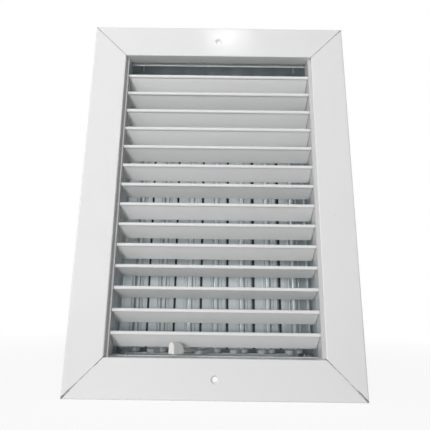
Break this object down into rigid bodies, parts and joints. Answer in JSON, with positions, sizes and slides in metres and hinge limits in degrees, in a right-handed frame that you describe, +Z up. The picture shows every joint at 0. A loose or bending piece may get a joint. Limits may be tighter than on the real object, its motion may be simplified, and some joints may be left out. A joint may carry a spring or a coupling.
{
  "type": "sidewall supply register",
  "caption": "White rectangular sidewall air register with a mitred frame, hand-set horizontal louvres and a lever-worked upright shutter damper behind.",
  "frame": {"origin": "midway between the two screw holes, on the back of the flange's face wall", "axes": "+X along the louvres to the right seen from the room, +Y into the wall, +Z up"},
  "size_m": [0.248, 0.065, 0.348],
  "materials": {
    "white_paint": "gloss white powder coat on aluminium",
    "mill_aluminium": "mill finish",
    "key_aluminium": "sawn",
    "bush_nylon": "moulded nylon",
    "crank_nylon": "moulded nylon",
    "lever_steel": "zinc plated",
    "fastener_steel": "zinc plated",
    "knob_plastic": "moulded white"
  },
  "bodies": {
    "frame": {"frame_top": "white_paint", "frame_bottom": "white_paint", "frame_left": "white_paint", "frame_right": "white_paint", "corner_keys": "key_aluminium", "louvre_rail_left": "white_paint", "louvre_rail_right": "white_paint", "louvre_bushes_left": "bush_nylon", "louvre_bushes_right": "bush_nylon", "damper_top": "mill_aluminium", "damper_bottom": "mill_aluminium", "damper_left": "mill_aluminium", "damper_right": "mill_aluminium", "damper_rivets": "fastener_steel", "damper_screws": "fastener_steel", "shutter_bushes_top": "bush_nylon", "shutter_bushes_bottom": "bush_nylon"},
    "louvre_01": {"louvre_01": "white_paint"},
    "louvre_02": {"louvre_02": "white_paint"},
    "louvre_03": {"louvre_03": "white_paint"},
    "louvre_04": {"louvre_04": "white_paint"},
    "louvre_05": {"louvre_05": "white_paint"},
    "louvre_06": {"louvre_06": "white_paint"},
    "louvre_07": {"louvre_07": "white_paint"},
    "louvre_08": {"louvre_08": "white_paint"},
    "louvre_09": {"louvre_09": "white_paint"},
    "louvre_10": {"louvre_10": "white_paint"},
    "louvre_11": {"louvre_11": "white_paint"},
    "louvre_12": {"louvre_12": "white_paint"},
    "louvre_13": {"louvre_13": "white_paint"},
    "louvre_14": {"louvre_14": "white_paint"},
    "shutter_1": {"shutter_1": "mill_aluminium", "crank_1": "crank_nylon"},
    "shutter_2": {"shutter_2": "mill_aluminium", "crank_2": "crank_nylon"},
    "shutter_3": {"shutter_3": "mill_aluminium", "crank_3": "crank_nylon"},
    "shutter_4": {"shutter_4": "mill_aluminium", "crank_4": "crank_nylon", "lever": "lever_steel", "lever_rivets": "fastener_steel", "knob": "knob_plastic"},
    "shutter_5": {"shutter_5": "mill_aluminium", "crank_5": "crank_nylon"},
    "shutter_6": {"shutter_6": "mill_aluminium", "crank_6": "crank_nylon"},
    "shutter_7": {"shutter_7": "mill_aluminium", "crank_7": "crank_nylon"},
    "link_bar": {"link_bar": "mill_aluminium"}
  },
  "joints": [
    {"name": "louvre_01_tilt", "type": "hinge", "parent": "frame", "child": "louvre_01", "pos_m": [0, 0.0058, 0.12276], "axis": [1, 0, 0], "range_deg": [-9, 56]},
    {"name": "louvre_02_tilt", "type": "hinge", "parent": "frame", "child": "louvre_02", "pos_m": [0, 0.0058, 0.10388], "axis": [1, 0, 0], "range_deg": [-18, 47]},
    {"name": "louvre_03_tilt", "type": "hinge", "parent": "frame", "child": "louvre_03", "pos_m": [0, 0.0058, 0.08499], "axis": [1, 0, 0], "range_deg": [-13, 52]},
    {"name": "louvre_04_tilt", "type": "hinge", "parent": "frame", "child": "louvre_04", "pos_m": [0, 0.0058, 0.0661], "axis": [1, 0, 0], "range_deg": [-11, 54]},
    {"name": "louvre_05_tilt", "type": "hinge", "parent": "frame", "child": "louvre_05", "pos_m": [0, 0.0058, 0.04722], "axis": [1, 0, 0], "range_deg": [-17, 48]},
    {"name": "louvre_06_tilt", "type": "hinge", "parent": "frame", "child": "louvre_06", "pos_m": [0, 0.0058, 0.02833], "axis": [1, 0, 0], "range_deg": [-12, 53]},
    {"name": "louvre_07_tilt", "type": "hinge", "parent": "frame", "child": "louvre_07", "pos_m": [0, 0.0058, 0.00944], "axis": [1, 0, 0], "range_deg": [-21, 44]},
    {"name": "louvre_08_tilt", "type": "hinge", "parent": "frame", "child": "louvre_08", "pos_m": [0, 0.0058, -0.00944], "axis": [1, 0, 0], "range_deg": [-8, 57]},
    {"name": "louvre_09_tilt", "type": "hinge", "parent": "frame", "child": "louvre_09", "pos_m": [0, 0.0058, -0.02833], "axis": [1, 0, 0], "range_deg": [-12, 53]},
    {"name": "louvre_10_tilt", "type": "hinge", "parent": "frame", "child": "louvre_10", "pos_m": [0, 0.0058, -0.04722], "axis": [1, 0, 0], "range_deg": [-10, 55]},
    {"name": "louvre_11_tilt", "type": "hinge", "parent": "frame", "child": "louvre_11", "pos_m": [0, 0.0058, -0.0661], "axis": [1, 0, 0], "range_deg": [-22, 43]},
    {"name": "louvre_12_tilt", "type": "hinge", "parent": "frame", "child": "louvre_12", "pos_m": [0, 0.0058, -0.08499], "axis": [1, 0, 0], "range_deg": [-20, 45]},
    {"name": "louvre_13_tilt", "type": "hinge", "parent": "frame", "child": "louvre_13", "pos_m": [0, 0.0058, -0.10388], "axis": [1, 0, 0], "range_deg": [-10, 55]},
    {"name": "louvre_14_tilt", "type": "hinge", "parent": "frame", "child": "louvre_14", "pos_m": [0, 0.0058, -0.12276], "axis": [1, 0, 0], "range_deg": [-4, 61]},
    {"name": "shutter_1_turn", "type": "hinge", "parent": "frame", "child": "shutter_1", "pos_m": [-0.0762, 0.0462, 0], "axis": [0, 0, 1], "range_deg": [0, 80]},
    {"name": "shutter_2_turn", "type": "hinge", "parent": "frame", "child": "shutter_2", "pos_m": [-0.0508, 0.0462, 0], "axis": [0, 0, 1], "range_deg": [0, 80]},
    {"name": "shutter_3_turn", "type": "hinge", "parent": "frame", "child": "shutter_3", "pos_m": [-0.0254, 0.0462, 0], "axis": [0, 0, 1], "range_deg": [0, 80]},
    {"name": "damper_lever_turn", "type": "hinge", "parent": "frame", "child": "shutter_4", "pos_m": [0, 0.0462, 0], "axis": [0, 0, 1], "range_deg": [0, 80]},
    {"name": "shutter_5_turn", "type": "hinge", "parent": "frame", "child": "shutter_5", "pos_m": [0.0254, 0.0462, 0], "axis": [0, 0, 1], "range_deg": [0, 80]},
    {"name": "shutter_6_turn", "type": "hinge", "parent": "frame", "child": "shutter_6", "pos_m": [0.0508, 0.0462, 0], "axis": [0, 0, 1], "range_deg": [0, 80]},
    {"name": "shutter_7_turn", "type": "hinge", "parent": "frame", "child": "shutter_7", "pos_m": [0.0762, 0.0462, 0], "axis": [0, 0, 1], "range_deg": [0, 80]},
    {"name": "link_bar_swing", "type": "hinge", "parent": "shutter_4", "child": "link_bar", "pos_m": [-0.00781, 0.03709, -0.1425], "axis": [0, 0, 1], "range_deg": [-80, 0]}
  ],
  "couplings": [
    {"joint": "shutter_1_turn", "follows": "damper_lever_turn", "ratio": 1},
    {"joint": "shutter_2_turn", "follows": "damper_lever_turn", "ratio": 1},
    {"joint": "shutter_3_turn", "follows": "damper_lever_turn", "ratio": 1},
    {"joint": "shutter_5_turn", "follows": "damper_lever_turn", "ratio": 1},
    {"joint": "shutter_6_turn", "follows": "damper_lever_turn", "ratio": 1},
    {"joint": "shutter_7_turn", "follows": "damper_lever_turn", "ratio": 1},
    {"joint": "link_bar_swing", "follows": "damper_lever_turn", "ratio": -1}
  ]
}
